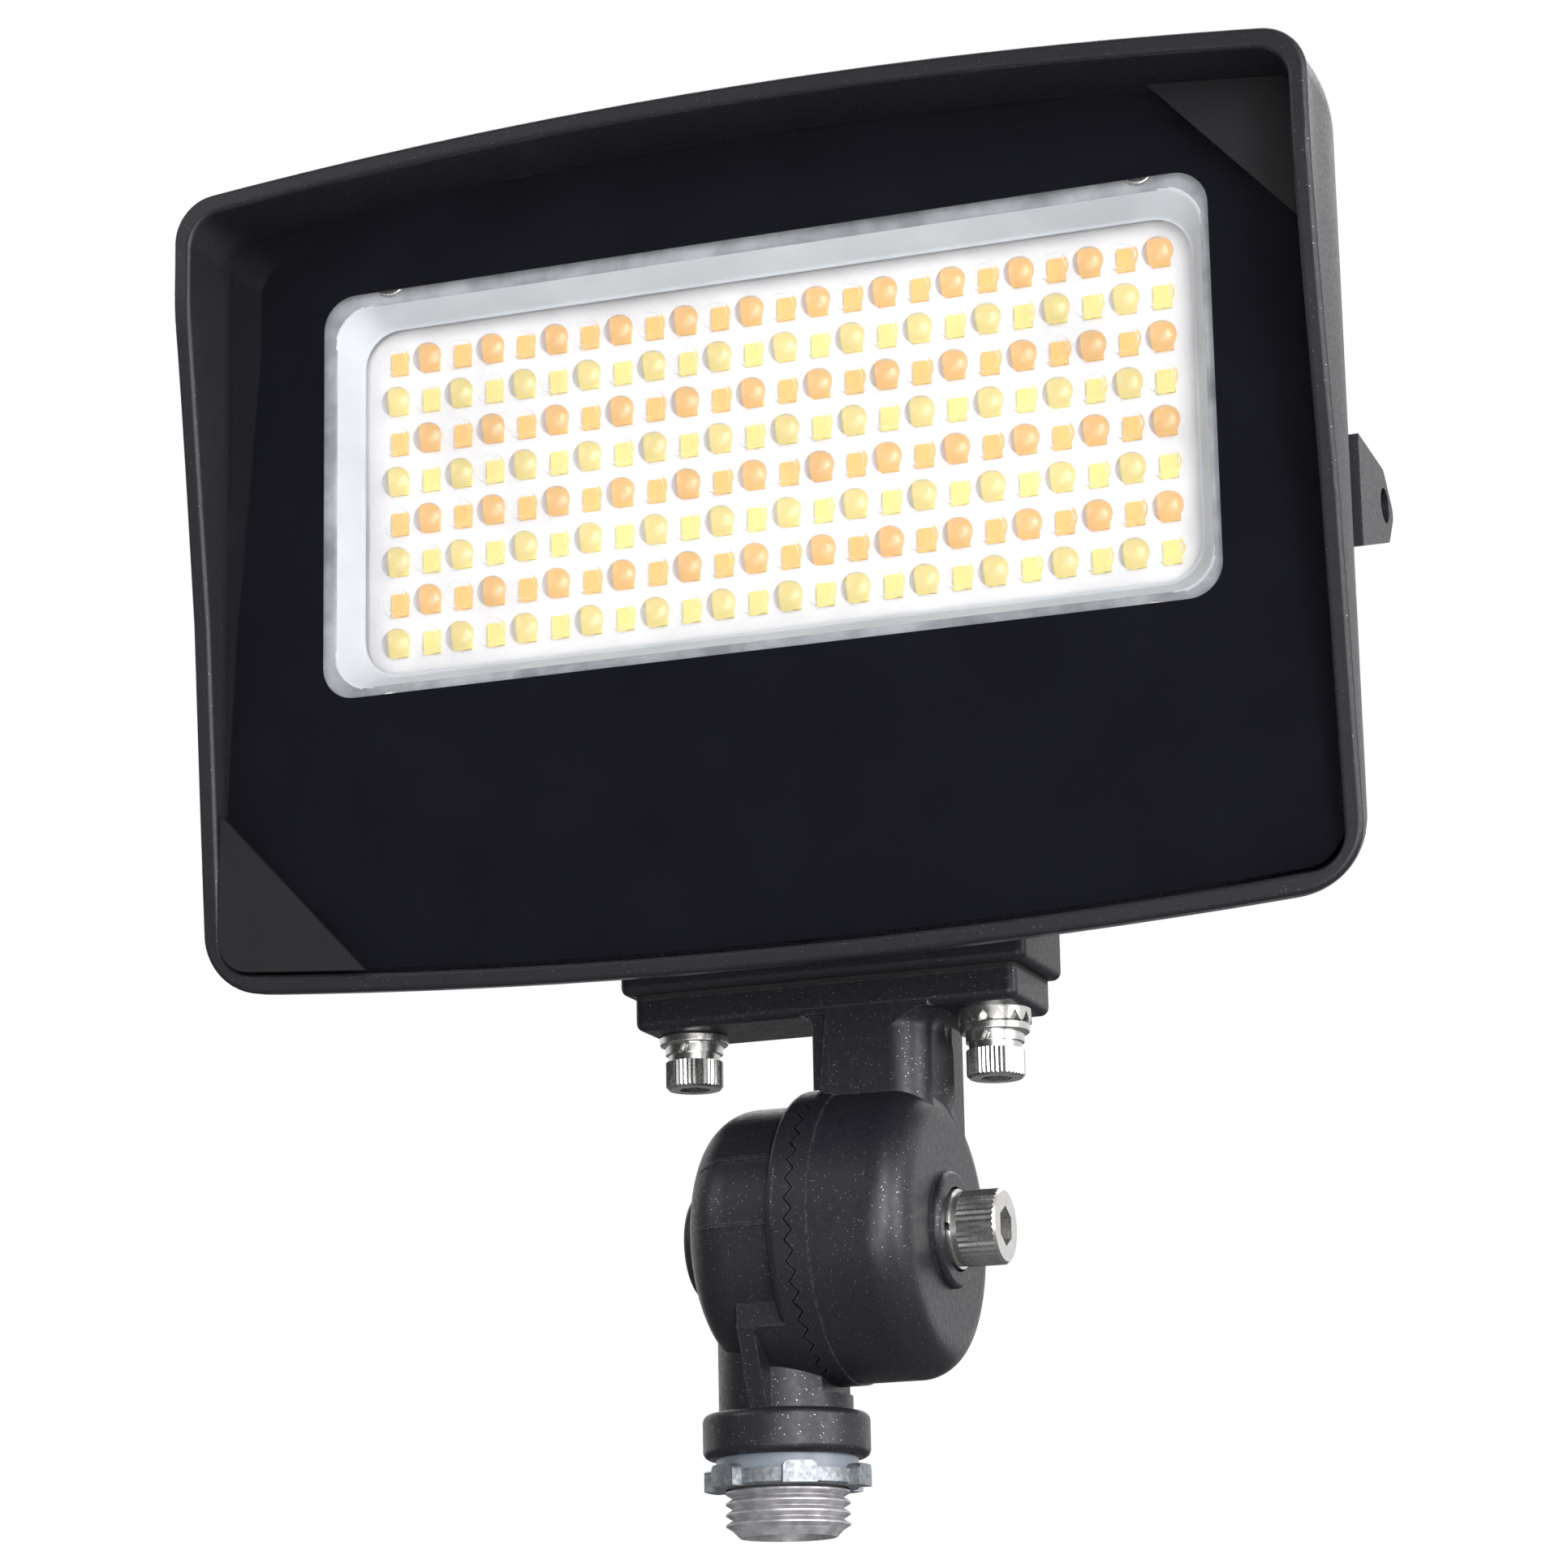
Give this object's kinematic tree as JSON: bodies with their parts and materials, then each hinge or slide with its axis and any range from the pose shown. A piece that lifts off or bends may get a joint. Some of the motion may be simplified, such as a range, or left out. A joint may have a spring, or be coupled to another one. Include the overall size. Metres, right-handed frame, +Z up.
{
  "type": "led flood light",
  "caption": "Outdoor LED flood light: cast head with a hooded glass front and a lens array, on a toothed swivel knuckle with a threaded conduit stem.",
  "frame": {"origin": "on the axis of the conduit thread, at the middle of its free turns", "axes": "+Z up along the thread and stem, -Y the way the light shines, +X to the right seen from the front, along the swivel axis"},
  "size_m": [0.205, 0.0793, 0.2393],
  "materials": {
    "head_paint": "satin black powder coat",
    "knuckle_paint": "satin dark grey powder coat",
    "plate_paint": "matte black",
    "stainless": "bright stainless",
    "zinc_plated": "dull zinc plate",
    "clear_rubber": "translucent blue-grey",
    "black_rubber": "matte",
    "black_plastic": "fine texture",
    "black_print": "printed black",
    "glass": "clear",
    "clear_lens": "clear moulded",
    "warm_phosphor": "phosphor",
    "cool_phosphor": "phosphor",
    "white_board": "white solder mask",
    "grey_pad": "soft pad",
    "white_plastic": "plain"
  },
  "bodies": {
    "base": {"lower_knuckle": "knuckle_paint", "sealing_washer": "clear_rubber", "locknut": "zinc_plated", "pivot_nut": "zinc_plated", "pivot_cap": "black_plastic", "pivot_seal": "black_rubber"},
    "clamp": {"pivot_bolt": "stainless", "pivot_spring_washer": "stainless"},
    "head": {"upper_knuckle": "knuckle_paint", "flange_screws": "stainless", "flange_spring_washers": "stainless", "flange_flat_washers": "stainless", "flange_tooth_washer": "stainless", "flange_gasket": "black_rubber", "housing": "head_paint", "front_glass": "glass", "glass_mask": "black_print", "glass_gasket": "black_rubber", "corner_plate_upper": "plate_paint", "corner_plate_lower": "plate_paint", "lens_tray": "clear_lens", "lens_screws": "stainless", "led_chips_warm": "warm_phosphor", "led_chips_cool": "cool_phosphor", "led_board": "white_board", "thermal_pad": "grey_pad", "board_connector": "white_plastic", "led_leads": "white_plastic", "driver_case": "white_plastic", "driver_screws": "stainless", "wire_grommet": "black_rubber", "rear_cover_gasket": "black_rubber", "rear_cover": "head_paint", "rear_cover_screws": "stainless", "selector_body": "black_plastic", "vent_plug": "black_plastic"},
    "slider": {"selector_slider": "white_plastic"},
    "plug": {"selector_plug": "black_rubber"}
  },
  "joints": [
    {"name": "knuckle_release", "type": "slide", "parent": "base", "child": "clamp", "axis": [1, 0, 0], "range_m": [0, 0.0022]},
    {"name": "knuckle_tilt", "type": "hinge", "parent": "clamp", "child": "head", "pos_m": [0.0102, 0, 0.0454], "axis": [1, 0, 0], "range_deg": [-88, 88]},
    {"name": "selector", "type": "slide", "parent": "head", "child": "slider", "axis": [1, 0, 0], "range_m": [-0.002, 0.002]},
    {"name": "plug_pull", "type": "slide", "parent": "head", "child": "plug", "axis": [0, 1, 0], "range_m": [0, 0.01]}
  ]
}
